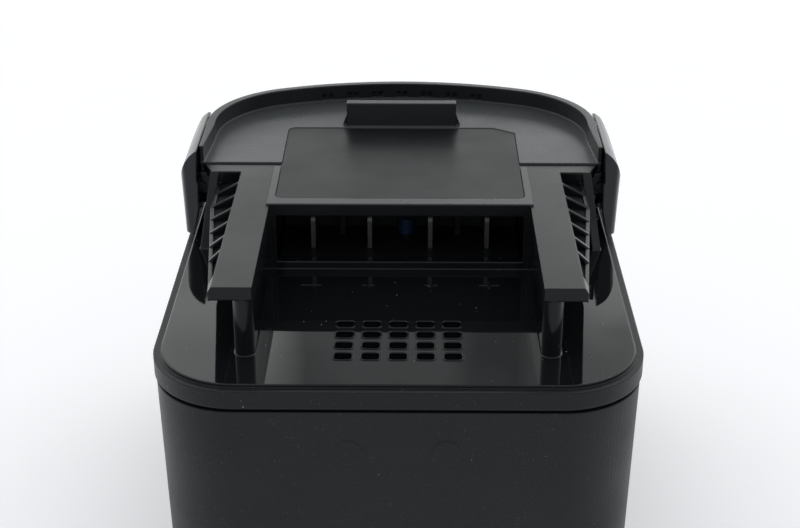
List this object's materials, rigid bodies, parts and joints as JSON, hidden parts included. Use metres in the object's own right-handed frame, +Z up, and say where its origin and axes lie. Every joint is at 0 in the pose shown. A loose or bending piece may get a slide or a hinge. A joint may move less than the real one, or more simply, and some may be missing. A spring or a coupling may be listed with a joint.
{
  "type": "power tool battery pack",
  "caption": "Slide-on rechargeable battery pack for a cordless tool, with ribbed rails, a terminal tower with blade contacts and a sprung release wing at each side.",
  "frame": {"origin": "middle of the base's footprint, on the surface that the pack stands on", "axes": "+Z up, -Y towards the terminals and the front of the rails, +X to the right seen from the front"},
  "size_m": [0.0824, 0.102, 0.0717],
  "materials": {
    "textured_plastic": "fine moulded texture",
    "gloss_black": "polished",
    "label_film": "satin",
    "block_plastic": "satin",
    "contact_metal": "tinned",
    "steel": "plated",
    "nickel": "plain",
    "cell_wrap": "shrink sleeve",
    "holder_plastic": "moulded",
    "board_green": "solder mask",
    "blue_sleeve": "sleeve",
    "paper_sheet": "plain"
  },
  "bodies": {
    "pack": {"lower_housing": "textured_plastic", "upper_housing": "gloss_black", "label_plate": "label_film", "housing_screws": "steel", "terminal_block": "block_plastic", "positive_terminal": "contact_metal", "negative_terminal": "contact_metal", "temperature_terminal": "contact_metal", "data_terminal": "contact_metal", "blue_capacitor": "blue_sleeve", "left_wing_pin": "steel", "right_wing_pin": "steel", "left_wing_spring": "steel", "right_wing_spring": "steel", "cell_1": "cell_wrap", "cell_2": "cell_wrap", "cell_3": "cell_wrap", "cell_4": "cell_wrap", "cell_5": "cell_wrap", "cell_6": "cell_wrap", "cell_7": "cell_wrap", "cell_8": "cell_wrap", "cell_9": "cell_wrap", "cell_10": "cell_wrap", "nickel_strip_1": "nickel", "nickel_strip_2": "nickel", "nickel_strip_3": "nickel", "nickel_strip_4": "nickel", "nickel_strip_5": "nickel", "nickel_strip_6": "nickel", "left_insulating_sheet": "paper_sheet", "right_insulating_sheet": "paper_sheet", "left_cell_holder": "holder_plastic", "right_cell_holder": "holder_plastic", "circuit_board": "board_green", "power_transistors": "block_plastic", "board_screws": "steel"},
    "left_wing": {"left_release_wing": "gloss_black"},
    "right_wing": {"right_release_wing": "gloss_black"}
  },
  "joints": [
    {"name": "left_wing_hinge", "type": "hinge", "parent": "pack", "child": "left_wing", "pos_m": [-0.0376, 0.017, 0.0627], "axis": [0, -1, 0], "range_deg": [0, 8], "stiffness_Nm_per_rad": 0.05, "springref_deg": -4.01, "deforming": ["left_wing_spring"]},
    {"name": "right_wing_hinge", "type": "hinge", "parent": "pack", "child": "right_wing", "pos_m": [0.0376, 0.017, 0.0627], "axis": [0, 1, 0], "range_deg": [0, 8], "stiffness_Nm_per_rad": 0.05, "springref_deg": -4.01, "deforming": ["right_wing_spring"]}
  ]
}
